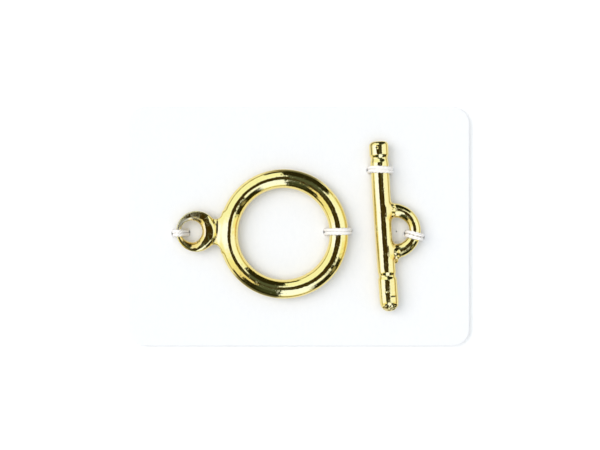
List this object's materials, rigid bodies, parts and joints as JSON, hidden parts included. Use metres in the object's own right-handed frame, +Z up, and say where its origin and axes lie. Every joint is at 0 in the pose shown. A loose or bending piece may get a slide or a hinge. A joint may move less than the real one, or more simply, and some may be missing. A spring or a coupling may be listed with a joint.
{
  "type": "toggle clasp on a card",
  "caption": "Gold-plated toggle clasp for a necklace or bracelet, a round ring with a linking eye and a knobbed bar with a half-round loop, lying on a small white card.",
  "frame": {"origin": "middle of the card's underside", "axes": "+X along the card from the ring towards the bar, +Y up the card along the bar, +Z up from the card"},
  "size_m": [0.04, 0.028, 0.0032],
  "materials": {
    "white_card": "smooth uncoated white card",
    "gold_plate": "mirror-bright gold plating over a cast base metal",
    "white_thread": "white sewing thread, two strands at each tie"
  },
  "bodies": {
    "root": {"card": "white_card", "toggle_ring": "gold_plate", "toggle_bar": "gold_plate"}
  },
  "joints": []
}
